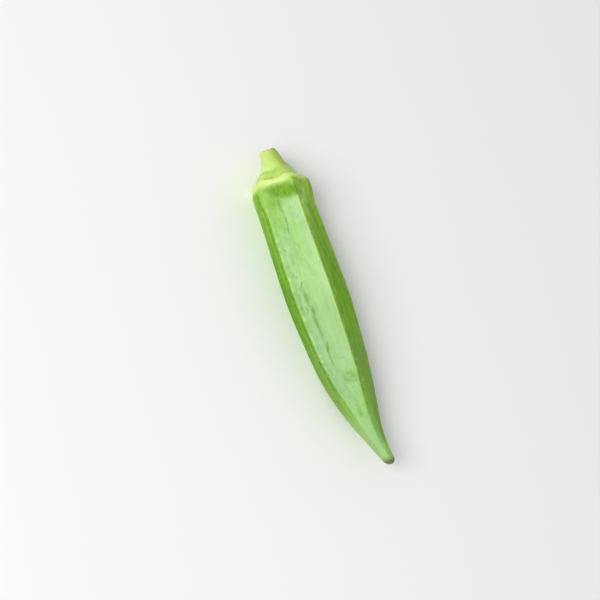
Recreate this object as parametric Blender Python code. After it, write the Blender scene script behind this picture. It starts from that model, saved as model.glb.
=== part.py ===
"""Okra pod as picked, lying on one of its five faces, with its cut stem still on.

X runs from the cut end of the stem to the tip of the pod, Z is up, and the pod
rests on Z = 0. Sizes are in millimetres until the meshes are made, and angles
round the pod are in degrees from +Y towards +Z.
"""

import math

import bmesh
import bpy

MM = 0.001

# Place of the whole pod: X of the cut end of the stem, and the shift along Y
START_X = -53.2
SHIFT_Y = -0.59

# The pod's five ridges, and how far each has turned where the pod narrows to its tip
RIDGE_ANGLES = (18.0, 95.0, 162.0, 234.0, 306.0)
RIDGE_TURNS = (4.0, 11.0, -21.0, -8.0, 0.0)
TURN_FROM = 63.0
TURN_TO = 99.0

# Distance from the cut end of the stem, and distance of the ridge tops from the middle line
POD_OUTLINE = (
    (15.8, 10.15),
    (25.0, 10.1),
    (36.0, 10.4),
    (48.0, 10.6),
    (57.0, 10.15),
    (66.0, 9.45),
    (73.0, 8.65),
    (79.0, 7.65),
    (85.5, 6.2),
    (92.0, 4.5),
    (98.0, 3.0),
    (104.3, 1.95),
)
BODY_RINGS = 58

# Sideways bend of the middle line, from the stem to the hooked tip
SIDE_BEND = (
    (0.0, 2.24),
    (3.2, 2.42),
    (9.5, 1.7),
    (19.0, 1.4),
    (32.0, 0.75),
    (47.5, 0.1),
    (63.0, 0.2),
    (79.0, 0.5),
    (92.0, 1.35),
    (98.0, 2.3),
    (106.5, 4.35),
)

# How the pod lies: two lower ridges touch the surface between these distances
REST_FROM = 15.8
REST_TO = 60.0
SETTLE = 0.15
UNDERSIDE_SLOPE = 0.045
TIP_LIFT = 2.2
TIP_X = 106.4

# Section of the pod: narrow rib on each ridge, hollow faces with a shallow middle furrow,
# rounder at the collar, and rounder still at the tip
RIB_HEIGHT = 0.42
COLLAR_RIB_LOSS = 0.6
TIP_RIB_HEIGHT = 0.12
RIB_WIDTH = 0.75
FACE_HOLLOW = 0.035
FURROW_DEPTH = 0.16
FURROW_WIDTH = 0.7
BODY_ROUNDNESS = 0.12
COLLAR_ROUNDNESS = 0.3
COLLAR_FROM = 14.5
COLLAR_TO = 21.0
TIP_ROUNDNESS = 0.7
FADE_FROM = 68.0
FADE_TO = 98.0
FACE_STEPS = (0.0, 0.035, 0.09, 0.19, 0.32, 0.44, 0.5, 0.56, 0.68, 0.81, 0.91, 0.965)

# Rim where the calyx fell off, from the hollow under the cap out to the full ridges:
# distance, ridge radius, roundness, and share of the lip's sag, which is RIM_SAGS on the
# ridges with RIM_WAVE more between them
RIM_ROWS = (
    (11.7, 5.9, 0.9, 0.9),
    (11.5, 6.95, 0.9, 1.0),
    (10.5, 7.3, 0.9, 1.0),
    (9.95, 7.5, 0.9, 1.0),
    (9.7, 7.85, 0.88, 1.0),
    (9.85, 8.3, 0.85, 1.0),
    (10.25, 8.75, 0.79, 1.0),
    (10.8, 9.15, 0.69, 0.9),
    (11.5, 9.55, 0.58, 0.65),
    (12.45, 9.92, 0.44, 0.35),
    (13.85, 10.12, 0.34, 0.12),
)
RIM_FLOOR_X = 11.75
RIM_WAVE = 0.85
RIM_SAGS = (1.05, 0.32, -0.42, -0.62, 0.06)
RIB_START_RADIUS = 8.3

# Hollow across each face just below the lip, whose ridge radius is LIP_RADIUS: depth of
# the hollow, and the distances between which it opens and closes
DIP_DEPTH = 0.9
DIP_OPENS = (11.2, 13.0)
DIP_CLOSES = (13.8, 17.5)
LIP_RADIUS = 7.85

# Blunt tip, past the last ring of the outline
TIP_ROWS = ((105.3, 1.62), (105.9, 1.2), (106.3, 0.6))

# Stem and the cap it widens into: distance and radius
STEM_OUTLINE = (
    (0.12, 2.66),
    (1.6, 2.93),
    (3.2, 3.35),
    (4.7, 3.85),
    (6.3, 5.0),
    (7.7, 6.25),
    (8.7, 6.85),
)
STEM_RINGS = 12
STEM_BEVEL_RADIUS = 2.54
SCAR_ROWS = ((9.3, 6.95), (9.75, 6.75), (10.1, 6.1))
CAP_FLOOR_X = 10.8
CAP_WAVE = 0.22
CAP_WAVE_FROM = 3.0
CAP_WAVE_TO = 8.5
CAP_EDGE_FROM = 6.3
CAP_EDGE_TO = 9.2

# Colours as linear red, green, blue, and roughness
POD_COLOUR = (0.27, 0.51, 0.14, 1.0)
POD_ROUGHNESS = 0.5
STEM_COLOUR = (0.52, 0.70, 0.17, 1.0)
STEM_ROUGHNESS = 0.6

SHARP_ANGLE = math.radians(50.0)


def clear_scene():
    for old in list(bpy.data.objects):
        bpy.data.objects.remove(old, do_unlink=True)


def ramp(low, high, value):
    """Smooth step from 0 at low to 1 at high."""
    share = min(max((value - low) / (high - low), 0.0), 1.0)
    return share * share * (3.0 - 2.0 * share)


def mix(first, second, share):
    return first + (second - first) * share


def curve_at(points, at):
    """Value at this distance of a smooth curve through points, each a (distance, value) pair."""
    last = len(points) - 1
    index = 0
    while index < last - 1 and at > points[index + 1][0]:
        index += 1
    before, start = points[max(index - 1, 0)], points[index]
    end, after = points[index + 1], points[min(index + 2, last)]
    length = end[0] - start[0]
    start_slope = (end[1] - before[1]) / (end[0] - before[0])
    end_slope = (after[1] - start[1]) / (after[0] - start[0])
    t = min(max((at - start[0]) / length, 0.0), 1.0)
    return (
        start[1] * (2 * t**3 - 3 * t**2 + 1)
        + start_slope * length * (t**3 - 2 * t**2 + t)
        + end[1] * (3 * t**2 - 2 * t**3)
        + end_slope * length * (t**3 - t**2)
    )


def section(distance, ridge_radius, roundness, rib_height):
    """Angle, radius and place on its face of each point of one ring round the pod."""
    turned = ramp(TURN_FROM, TURN_TO, distance)
    ridges = [angle + turn * turned for angle, turn in zip(RIDGE_ANGLES, RIDGE_TURNS)]
    ridges.append(ridges[0] + 360.0)
    corner = ridge_radius - rib_height
    furrow = FURROW_DEPTH * (1.0 - roundness)
    points = []
    for first, second in zip(ridges, ridges[1:]):
        half = math.radians(second - first) / 2
        for step in FACE_STEPS:
            off_middle = (2 * step - 1) * half
            flat = corner * math.cos(half) / math.cos(off_middle)
            radius = mix(flat, corner, roundness)
            from_ridge = min(step, 1 - step) * 2 * half * corner
            radius += rib_height * math.exp(-((from_ridge / RIB_WIDTH) ** 2))
            radius -= corner * FACE_HOLLOW * (1 - roundness) * math.sin(math.pi * step) ** 2
            radius -= furrow * math.exp(-((off_middle * corner / FURROW_WIDTH) ** 2))
            points.append((math.radians(mix(first, second, step)), radius, step))
    return points


def body_section(distance):
    """Section of the pod between its collar and its tip."""
    fade = ramp(FADE_FROM, FADE_TO, distance)
    at_collar = 1.0 - ramp(COLLAR_FROM, COLLAR_TO, distance)
    roundness = mix(mix(BODY_ROUNDNESS, COLLAR_ROUNDNESS, at_collar), TIP_ROUNDNESS, fade)
    rib_height = mix(RIB_HEIGHT, TIP_RIB_HEIGHT, fade) * (1.0 - COLLAR_RIB_LOSS * at_collar)
    return section(distance, curve_at(POD_OUTLINE, distance), roundness, rib_height)


def middle_height(distance):
    """Height of the middle line: the lower ridges settle on the surface, the tip stays off it."""
    resting = min(max(distance, REST_FROM), REST_TO)
    reach = max(-radius * math.sin(angle) for angle, radius, step in body_section(resting))
    past = max(distance - REST_TO, 0.0)
    lift = TIP_LIFT * (past / (TIP_X - REST_TO)) ** 2
    return reach - SETTLE - UNDERSIDE_SLOPE * past + lift


def point_at(distance, angle, radius):
    """Point at this distance along the bent middle line, never below the surface."""
    x = START_X + distance
    y = SHIFT_Y + curve_at(SIDE_BEND, distance) + radius * math.cos(angle)
    z = middle_height(distance) + radius * math.sin(angle)
    return (x * MM, y * MM, max(z, 0.0) * MM)


def collar_dip(distance, step):
    """How far a face is drawn in at this distance, between its two ridges."""
    opened = ramp(DIP_OPENS[0], DIP_OPENS[1], distance)
    closed = ramp(DIP_CLOSES[0], DIP_CLOSES[1], distance)
    return DIP_DEPTH * opened * (1.0 - closed) * math.sin(math.pi * step) ** 2


def rim_shift(index):
    """How far the lip sags towards the tip at this point of a ring: most between two ridges."""
    face, place = divmod(index, len(FACE_STEPS))
    step = FACE_STEPS[place]
    sag = mix(RIM_SAGS[face], RIM_SAGS[(face + 1) % len(RIM_SAGS)], ramp(0.0, 1.0, step))
    return sag + RIM_WAVE * math.sin(math.pi * step) ** 2


def rim_rings():
    """Rings from the floor under the cap, over the wavy lip and down to the full ridges."""
    rings = []
    for distance, ridge_radius, roundness, sag_share in RIM_ROWS:
        grown = ramp(RIB_START_RADIUS, POD_OUTLINE[0][1], ridge_radius)
        rib = RIB_HEIGHT * (1.0 - COLLAR_RIB_LOSS) * grown
        ring = []
        for index, point in enumerate(section(distance, ridge_radius, roundness, rib)):
            angle, radius, step = point
            place = distance + sag_share * rim_shift(index)
            dip = collar_dip(place, step) if ridge_radius > LIP_RADIUS else 0.0
            ring.append(point_at(place, angle, radius - dip))
        rings.append(ring)
    return rings


def body_rings():
    """Rings of the pod's whole length, from the collar to the blunt tip."""
    first, last = POD_OUTLINE[0][0], POD_OUTLINE[-1][0]
    rings = []
    for index in range(BODY_RINGS):
        distance = mix(first, last, index / (BODY_RINGS - 1))
        ring = []
        for angle, radius, step in body_section(distance):
            ring.append(point_at(distance, angle, radius - collar_dip(distance, step)))
        rings.append(ring)
    return rings


def tip_rings():
    rings = []
    for distance, ridge_radius in TIP_ROWS:
        ring = section(distance, ridge_radius, TIP_ROUNDNESS, 0.0)
        rings.append([point_at(distance, angle, radius) for angle, radius, step in ring])
    return rings


def stem_rings():
    """Rings from the bevelled cut end, down the stem and over the cap, whose edge follows the lip."""
    rows = [(0.0, STEM_BEVEL_RADIUS)]
    first, last = STEM_OUTLINE[0][0], STEM_OUTLINE[-1][0]
    for index in range(STEM_RINGS):
        distance = mix(first, last, index / (STEM_RINGS - 1))
        rows.append((distance, curve_at(STEM_OUTLINE, distance)))
    rows.extend(SCAR_ROWS)
    rings = []
    for distance, radius in rows:
        wave = CAP_WAVE * ramp(CAP_WAVE_FROM, CAP_WAVE_TO, distance)
        edge_share = ramp(CAP_EDGE_FROM, CAP_EDGE_TO, distance)
        ring = []
        for index, point in enumerate(section(distance, radius, 1.0, 0.0)):
            angle, plain_radius, step = point
            dip = wave * math.sin(math.pi * step) ** 2
            place = distance + edge_share * rim_shift(index)
            ring.append(point_at(place, angle, plain_radius - dip))
        rings.append(ring)
    return rings


def make_material(name, colour, roughness):
    material = bpy.data.materials.new(name)
    material.use_nodes = True
    shader = material.node_tree.nodes["Principled BSDF"]
    shader.inputs["Base Color"].default_value = colour
    shader.inputs["Roughness"].default_value = roughness
    shader.inputs["Metallic"].default_value = 0.0
    material.diffuse_color = colour
    return material


def make_solid(name, rings, first_point, last_point, material):
    """Closed solid through the rings, with a fan of triangles at each end."""
    solid = bmesh.new()
    loops = [[solid.verts.new(point) for point in ring] for ring in rings]
    count = len(loops[0])
    for near, far in zip(loops, loops[1:]):
        for index in range(count):
            after = (index + 1) % count
            solid.faces.new((near[index], near[after], far[after], far[index]))
    for loop, point in ((loops[0], first_point), (loops[-1], last_point)):
        centre = solid.verts.new(point)
        for index in range(count):
            solid.faces.new((loop[index], loop[(index + 1) % count], centre))
    bmesh.ops.triangulate(solid, faces=solid.faces)
    bmesh.ops.recalc_face_normals(solid, faces=solid.faces)
    mesh = bpy.data.meshes.new(name)
    solid.to_mesh(mesh)
    solid.free()
    mesh.materials.append(material)
    mesh.shade_smooth()
    mesh.set_sharp_from_angle(angle=SHARP_ANGLE)
    piece = bpy.data.objects.new(name, mesh)
    bpy.context.collection.objects.link(piece)
    return piece


def build_pod():
    """Five-ridged pod with its collar, the hollow that the cap sits in and its hooked tip."""
    rings = rim_rings() + body_rings() + tip_rings()
    green = make_material("pod_skin", POD_COLOUR, POD_ROUGHNESS)
    floor_centre = point_at(RIM_FLOOR_X, 0.0, 0.0)
    tip = point_at(TIP_X, 0.0, 0.0)
    make_solid("pod", rings, floor_centre, tip, green)


def build_stem():
    """Cut stem and the cone-shaped cap it widens into."""
    pale = make_material("stem_skin", STEM_COLOUR, STEM_ROUGHNESS)
    cut_centre = point_at(0.0, 0.0, 0.0)
    cap_centre = point_at(CAP_FLOOR_X, 0.0, 0.0)
    make_solid("stem", stem_rings(), cut_centre, cap_centre, pale)


def build():
    clear_scene()
    build_pod()
    build_stem()


build()
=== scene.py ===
"""Fresh okra pod with its cut stem, lying on one face on a pale surface."""

import math

import bmesh
import bpy
import numpy as np
from mathutils import Matrix, Vector, noise


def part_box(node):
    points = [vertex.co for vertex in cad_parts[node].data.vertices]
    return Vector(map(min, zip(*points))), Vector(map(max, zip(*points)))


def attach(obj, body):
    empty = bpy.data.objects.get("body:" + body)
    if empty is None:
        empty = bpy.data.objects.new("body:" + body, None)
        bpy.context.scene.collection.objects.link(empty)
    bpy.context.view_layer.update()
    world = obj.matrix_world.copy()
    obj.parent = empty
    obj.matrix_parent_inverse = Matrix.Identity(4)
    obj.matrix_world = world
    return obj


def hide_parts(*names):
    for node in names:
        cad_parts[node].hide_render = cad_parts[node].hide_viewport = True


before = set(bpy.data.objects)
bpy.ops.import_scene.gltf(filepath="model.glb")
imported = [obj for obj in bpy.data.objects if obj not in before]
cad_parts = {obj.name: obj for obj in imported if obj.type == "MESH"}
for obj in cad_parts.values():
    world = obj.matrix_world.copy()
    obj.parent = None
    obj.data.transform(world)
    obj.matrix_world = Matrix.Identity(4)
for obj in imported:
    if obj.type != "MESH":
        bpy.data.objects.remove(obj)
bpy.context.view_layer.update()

# --------------------------------------------------
# The pod: the seed capsule of the okra plant, grown in one piece. Five ridges run from the
# collar, where the calyx fell off, to a hooked blunt tip, and the skin is thin, satin and
# downy. Lengths are in millimetres until a mesh is made, angles in degrees from +Y.
# --------------------------------------------------

MM = 0.001
start_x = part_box("stem")[0].x / MM
tip_distance = (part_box("pod")[1].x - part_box("stem")[0].x) / MM
SHIFT_Y = -0.59

RIDGE_ANGLES = (18.0, 92.5, 160.0, 234.0, 306.0)
RIDGE_TURNS = (4.0, 12.0, -15.0, -8.0, 0.0)
TURN_STARTS = (63.0, 70.0, 66.0, 63.0, 63.0)
TURN_END = 99.0

POD_OUTLINE = (
    (15.8, 10.15), (25.0, 10.1), (36.0, 10.4), (48.0, 10.6), (57.0, 10.15),
    (66.0, 9.45), (73.0, 8.65), (79.0, 7.65), (85.5, 6.2), (92.0, 4.5), (98.0, 3.0),
    (104.3, 1.95),
)
SIDE_BEND = (
    (0.0, 2.24), (3.2, 2.42), (9.5, 1.7), (19.0, 1.4), (32.0, 0.75), (47.5, 0.1),
    (63.0, 0.2), (79.0, 0.5), (92.0, 1.35), (98.0, 2.3), (106.5, 4.35),
)
REST_SPAN = (15.8, 60.0)
SETTLE = 0.15
UNDERSIDE_SLOPE = 0.045
TIP_LIFT = 2.2
SIDE_LOSS = (
    (11.5, 0.0), (16.3, 0.15), (20.0, 0.45), (22.5, 0.45), (27.0, 0.27), (40.0, 0.25),
    (48.0, 0.22), (54.0, 0.0), (106.5, 0.0),
)
SIDE_LOSS_WIDTH = 0.6

RIB_HEIGHT = 0.42
COLLAR_RIB_LOSS = 0.6
TIP_RIB_HEIGHT = 0.12
RIB_WIDTH = 0.95
FACE_HOLLOW = 0.035
BODY_ROUNDNESS = 0.12
COLLAR_ROUNDNESS = 0.3
COLLAR_SPAN = (14.5, 21.0)
TIP_ROUNDNESS = 0.7
FADE_SPAN = (68.0, 98.0)

RIM_ROWS = (
    (11.7, 5.9, 0.9, 0.9),
    (11.4, 6.8, 0.9, 1.0),
    (10.5, 7.14, 0.9, 1.0),
    (9.95, 7.4, 0.9, 1.0),
    (9.7, 7.85, 0.88, 1.0),
    (9.85, 8.3, 0.85, 1.0),
    (10.25, 8.75, 0.79, 1.0),
    (10.8, 9.15, 0.69, 0.9),
    (11.5, 9.55, 0.58, 0.65),
    (12.45, 9.92, 0.44, 0.35),
    (13.85, 10.12, 0.34, 0.12),
    (15.8, 10.15, 0.28, 0.0),
)
LIP_ROW = 4.6
RIM_FLOOR = 11.75
RIM_WAVE = 0.85
RIM_SAGS = (0.8, 0.32, -0.42, -0.62, 0.06)
RIB_START_RADIUS = 8.3
DIP_DEPTH = 0.9
DIP_OPENS = (11.2, 13.0)
DIP_CLOSES = (13.8, 17.5)
LIP_RADIUS = 7.85
TIP_ROWS = ((104.9, 1.82), (105.4, 1.58), (105.8, 1.27), (106.1, 0.9), (106.3, 0.45))

FACES = 5
STEPS_PER_FACE = 44
RINGS_PER_RIM_ROW = 4
BODY_RINGS = 285
HEIGHT_STEP = 0.25
HEIGHT_MARGIN = 2.0


def ramp(low, high, value):
    """Smooth step from 0 at low to 1 at high."""
    share = np.clip((value - low) / (high - low), 0.0, 1.0)
    return share * share * (3.0 - 2.0 * share)


def mix(first, second, share):
    return first + (second - first) * share


def hump(value, width):
    """Bell-shaped bump, 1 where value is 0."""
    return np.exp(-((value / width) ** 2))


def window(rise, fall, value):
    """Smooth step up over rise and down over fall, each a low and a high value."""
    return ramp(*rise, value) * (1 - ramp(*fall, value))


def curve_at(points, at):
    """Smooth curve through points, each a distance and the values there."""
    last = len(points) - 1
    index = 0
    while index < last - 1 and at > points[index + 1][0]:
        index += 1
    before, start, end, after = (
        np.array(points[min(max(index + shift, 0), last)], float) for shift in (-1, 0, 1, 2)
    )
    length = end[0] - start[0]
    start_slope = (end - before) / (end[0] - before[0])
    end_slope = (after - start) / (after[0] - start[0])
    t = min(max((at - start[0]) / length, 0.0), 1.0)
    value = start * (2 * t**3 - 3 * t**2 + 1) + end * (3 * t**2 - 2 * t**3)
    value += start_slope * length * (t**3 - 2 * t**2 + t) + end_slope * length * (t**3 - t**2)
    return value[1] if len(value) == 2 else value[1:]


def ripple(place, salt):
    """Smooth noise from about -1 to 1 at a place given as three numbers."""
    return noise.noise(Vector(place) + Vector((salt * 17.3, salt * 5.1, salt * 9.7)))


# Each point of a ring has a face and a step, which is 0 at one ridge and 1 at the next
# The sunny face is the face turned to the key light
RIGHT_FACE, SUNNY_FACE, LEFT_FACE = 0, 1, 2
FRONT_RIDGE = 1
face_of = np.repeat(np.arange(FACES), STEPS_PER_FACE)
step_of = np.tile(np.arange(STEPS_PER_FACE) / STEPS_PER_FACE, FACES)
mid_face = np.sin(math.pi * step_of) ** 2
on_right = (face_of == RIGHT_FACE) * 1.0
in_sun = (face_of == SUNNY_FACE) * 1.0
on_left = (face_of == LEFT_FACE) * 1.0
far_half = step_of > 0.5
nothing = np.zeros(len(step_of))


def section(distance, ridge_radius, roundness, rib_height):
    """Angles and radii of the plain five-sided ring, and each point's way to its ridge."""
    turned = ramp(np.array(TURN_STARTS), TURN_END, distance)
    ridges = np.array(RIDGE_ANGLES) + np.array(RIDGE_TURNS) * turned
    ridges = np.radians(np.append(ridges, ridges[0] + 360.0))
    first, second = ridges[face_of], ridges[face_of + 1]
    half = (second - first) / 2
    corner = ridge_radius - rib_height
    flat = corner * np.cos(half) / np.cos((2 * step_of - 1) * half)
    radius = mix(flat, corner, roundness)
    from_ridge = np.minimum(step_of, 1 - step_of) * 2 * half * corner
    radius += rib_height * hump(from_ridge, RIB_WIDTH)
    radius -= corner * FACE_HOLLOW * (1 - roundness) * mid_face
    angle = mix(first, second, step_of)
    off_side = np.mod(angle - ridges[0] + math.pi, 2 * math.pi) - math.pi
    radius -= curve_at(SIDE_LOSS, distance) * hump(off_side, SIDE_LOSS_WIDTH)
    return angle, radius, from_ridge


def body_section(distance):
    fade = ramp(*FADE_SPAN, distance)
    at_collar = 1 - ramp(*COLLAR_SPAN, distance)
    body_roundness = mix(BODY_ROUNDNESS, COLLAR_ROUNDNESS, at_collar)
    roundness = mix(body_roundness, TIP_ROUNDNESS, fade)
    rib_height = mix(RIB_HEIGHT, TIP_RIB_HEIGHT, fade) * (1 - COLLAR_RIB_LOSS * at_collar)
    return section(distance, curve_at(POD_OUTLINE, distance), roundness, rib_height)


def resting_reach(distance):
    angle, radius, from_ridge = body_section(distance)
    return float(np.max(-radius * np.sin(angle)))


def middle_height(distance):
    """Height of the pod's middle line: its lower ridges lie on the surface, its tip doesn't."""
    past = max(distance - REST_SPAN[1], 0.0)
    lift = TIP_LIFT * (past / (tip_distance - REST_SPAN[1])) ** 2
    reach = resting_reach(min(max(distance, REST_SPAN[0]), REST_SPAN[1]))
    return reach - SETTLE - UNDERSIDE_SLOPE * past + lift


height_places = np.arange(-HEIGHT_MARGIN, tip_distance + HEIGHT_MARGIN, HEIGHT_STEP)
middle_heights = [middle_height(place) for place in height_places]
bend_places = [curve_at(SIDE_BEND, place) for place in height_places]


def points_at(distance, angle, radius):
    """Points round the bent middle line, in metres, none below the surface."""
    distance = distance + np.zeros_like(angle)
    x = start_x + distance
    y = SHIFT_Y + np.interp(distance, height_places, bend_places) + radius * np.cos(angle)
    z = np.interp(distance, height_places, middle_heights) + radius * np.sin(angle)
    return np.stack([x, y, np.maximum(z, 0.0)], axis=1) * MM


SEED_SPAN = (20.0, 90.0)
SEED_SPACING = 4.7
SEED_ROWS = (0.24, 0.73)
SEED_STRAY_ACROSS = (-0.03, 0.03)
SEED_STRAY_ALONG = (-0.2, 0.2)
SEED_SIZES = (0.35, 1.0)
SEED_LUMP = 0.1
SEED_LENGTH = 1.7
SEED_WIDTH = 1.6
SEED_REACH = 2.5

seed_draw = np.random.default_rng(41)
seed_count = int((SEED_SPAN[1] - SEED_SPAN[0]) / SEED_SPACING)
seeds = [
    (
        face,
        row + seed_draw.uniform(*SEED_STRAY_ACROSS),
        index + 0.5 * (row > 0.5) + seed_draw.uniform(*SEED_STRAY_ALONG),
        SEED_LUMP * seed_draw.uniform(*SEED_SIZES),
    )
    for face in range(FACES)
    for row in SEED_ROWS
    for index in range(seed_count)
]


def seed_lumps(distance, face_width):
    """Low lumps over the seeds, in two staggered rows on each face."""
    lumps = np.zeros(len(step_of))
    for face, row, place, height in seeds:
        along = distance - (SEED_SPAN[0] + place * SEED_SPACING)
        if abs(along) < SEED_REACH * SEED_LENGTH:
            across = (step_of - row) * face_width
            lump = height * hump(along, SEED_LENGTH) * hump(across, SEED_WIDTH)
            lumps += (face_of == face) * lump
    return lumps


# Noise along the pod in lanes, one for each face, ridge or side of a rib: how long a ripple
# is, how far apart the lanes are, and the level and salt that keep each kind to itself
LANES = {
    "crease wander": (9.0, 3.7, 0, 1),
    "crease breaks": (5.0, 5.3, 2, 2),
    "rib chatter": (2.2, 2.3, 0, 5),
    "rib beads": (1.1, 3.3, 1, 8),
    "rib patches": (7.0, 2.9, 4, 9),
    "foot dashes": (1.7, 1.9, 2, 10),
    "foot specks": (0.55, 2.3, 5, 14),
}


def ripples(places, salt):
    return np.array([ripple(place, salt) for place in places])


def lane_noise(kind, distance, lanes=FACES):
    length, apart, level, salt = LANES[kind]
    return ripples([(distance / length, lane * apart, level) for lane in range(lanes)], salt)


def around(angle, waves):
    """Places on a circle, one for each angle: the more waves, the finer the noise there."""
    return [(math.cos(turn) * waves, math.sin(turn) * waves) for turn in angle]


# Scuffs on the sunny face: distance, step, length, width, slant and strength
SCUFFS = (
    (16.9, 0.42, 0.9, 0.3, 0, 0.5),
    (18.3, 0.76, 0.6, 0.3, 0, 0.8),
    (21, 0.77, 2.4, 0.2, -0.02, 0.5),
    (21.7, 0.56, 2.2, 0.22, 0, 0.9),
    (24.4, 0.55, 3, 0.24, 0, 1),
    (27.3, 0.58, 3, 0.24, -0.03, 0.9),
    (33, 0.87, 1.6, 0.3, 0.06, 0.5),
    (33.9, 0.42, 2.2, 0.3, 0, 0.45),
    (36.5, 0.75, 3.4, 0.9, 0, 0.35),
    (39.8, 0.34, 2.6, 0.3, 0, 0.35),
    (41.7, 0.85, 2, 0.3, 0.04, 0.7),
    (42.6, 0.79, 1.6, 0.25, 0, 0.5),
    (45, 0.72, 1.9, 0.3, -0.05, 1),
    (46.8, 0.75, 2.2, 1.2, 0.05, 0.5),
    (47.5, 0.95, 1, 0.25, 0.1, 0.5),
    (49.3, 0.89, 2.2, 0.3, -0.03, 0.65),
    (49.6, 0.72, 2.9, 0.95, 0.03, 0.75),
    (52.2, 0.94, 1.6, 0.4, 0, 0.6),
    (53.3, 0.82, 1.9, 0.35, 0, 0.65),
    (53.7, 0.66, 3, 0.8, 0.05, 0.5),
    (58.2, 0.69, 9, 0.75, 0.02, 0.65),
    (66.3, 0.66, 3.4, 0.6, -0.09, 0.8),
    (70.3, 0.7, 3.4, 0.25, 0.02, 0.55),
    (70.7, 0.33, 0.5, 1.6, 0, 0.35),
    (76.9, 0.36, 4.4, 2.6, 0, 0.36),
    (77.3, 0.1, 3.4, 1.5, 0, 0.4),
    (75.9, 0.27, 0.7, 1.5, 0, 0.4),
    (77.9, 0.42, 1.6, 0.5, 0.3, 0.35),
    (76.6, 0.2, 2.4, 0.4, 0.2, 0.3),
    (79.5, 0.62, 3, 0.4, 0.1, 0.22),
    (86.2, 0.52, 1.2, 0.4, 0, 0.4),
    (88.6, 0.5, 2.6, 1.3, 0, 0.35),
    (88.9, 0.55, 0.8, 0.5, 0, 0.3),
)
# Ranges of the same six values for the scuffs that are drawn on each other face
OTHER_SCUFF_RANGES = ((20, 92), (0.15, 0.85), (1.4, 4.5), (0.4, 1.1), (-0.1, 0.1), (0.3, 0.9))
OTHER_SCUFFS = 11
SCUFF_DEPTH = 0.07
SCUFF_REACH = 1.5
SCUFF_HALF_LENGTH = 0.6
SCUFF_HALF_WIDTH = 0.95
SCUFF_FADES = (0.5, 1.3)
SCUFF_RAGGED = 0.25
SCUFF_NOISE = (1.3, 4.1, 9)

scuff_draw = np.random.default_rng(7)
scuffs = [(SUNNY_FACE, *scuff) for scuff in SCUFFS]
for face in range(FACES):
    for index in range(OTHER_SCUFFS * (face != SUNNY_FACE)):
        scuffs.append((face, *(scuff_draw.uniform(*span) for span in OTHER_SCUFF_RANGES)))


def scuff_mask(distance, face_width):
    """Small bruised marks in the skin, drawn out along the pod, with ragged edges."""
    mask = np.zeros(len(step_of))
    for face, place, step, length, width, slant, strength in scuffs:
        along = distance - place
        if abs(along) < SCUFF_REACH * length:
            across = (step_of - step + slant * along / length) * face_width
            half_length, half_width = length * SCUFF_HALF_LENGTH, width * SCUFF_HALF_WIDTH
            ragged = SCUFF_RAGGED * ripple(np.array(SCUFF_NOISE) * (distance, face, step), 7)
            reach = np.hypot(along / half_length, across / half_width) + ragged
            mask += (face_of == face) * strength * (1 - ramp(*SCUFF_FADES, reach))
    return np.minimum(mask, 1.0)


CREASE_STEP = 0.57
CREASE_DRIFT = 0.13
CREASE_DRIFTS = (28, 50)
CREASE_WANDER = 0.05
CREASE_BREAKS = (-0.1, 0.3)
CREASE_WIDTH = 0.26
CREASE_DEPTH = 0.2
CREASE_SPAN = ((16, 19), (62, 78))


def crease_mask(distance, face_width):
    """Broken crease along each face, a little to one side of its middle."""
    wander = CREASE_WANDER * lane_noise("crease wander", distance)[face_of]
    centre = CREASE_STEP + CREASE_DRIFT * ramp(*CREASE_DRIFTS, distance) + wander
    broken = ramp(*CREASE_BREAKS, lane_noise("crease breaks", distance)[face_of])
    crease = hump((step_of - centre) * face_width, CREASE_WIDTH)
    return broken * crease * window(*CREASE_SPAN, distance)


def collar_dip(distance):
    """Hollow across each face below the lip, from 0 to 1."""
    return window(DIP_OPENS, DIP_CLOSES, distance) * mid_face


# The darker band below the lip, partly the skin's own deeper green and partly painted shade under
# the
# lip: where it starts and ends, what it covers of the sunny and of the right face, its dark corner
# between the two, and its tail down the sunny face
BAND_STARTS = (11.6, 14.0)
BAND_END = 17.7
BAND_FADE = (-1.3, 1.2)
BAND_RAGGED = 1.2
BAND_EDGE_NOISE = (2.7, 7, 3)
BAND_SLANT = 1.0
BAND_LONGER_RIGHT = 1.2
SUNNY_BAND_END = 0.92
SUNNY_BAND_FADE = (-0.2, 0.18)
SUNNY_BAND_TAPER = 0.05
SUNNY_BAND_LOSS = 0.15
TAPER_FROM = 12.5
RIGHT_BAND = (0.5, 0.85)
RIGHT_BAND_SHARE = 0.55
CORNER_WIDTH = 0.14
CORNER_GAP = 0.7
CORNER_GAP_CLOSES = (13.5, 15.1)
CORNER_SHARES = (0.6, 0.95)
CORNER_SPAN = ((13.8, 15.3), (17.3, 19.0))
TAIL_SHARE = 0.4
TAIL_ACROSS = ((0.3, 0.6), (0.85, 1.0))
TAIL_SPAN = ((14.0, 16.0), (18.0, 21.5))

per_face, per_step, level = BAND_EDGE_NOISE
spots = [(face * per_face, step * per_step, level) for face, step in zip(face_of, step_of)]
band_end = BAND_END - BAND_SLANT * step_of * in_sun + BAND_LONGER_RIGHT * on_right
band_end = band_end + BAND_RAGGED * ripples(spots, 12)
from_corner = np.where(in_sun, step_of, np.where(on_right, 1 - step_of, 1.0))
at_corner = hump(from_corner, CORNER_WIDTH)
corner_share = mix(*CORNER_SHARES, in_sun) * at_corner
tail_share = TAIL_SHARE * in_sun * window(*TAIL_ACROSS, step_of)


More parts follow.
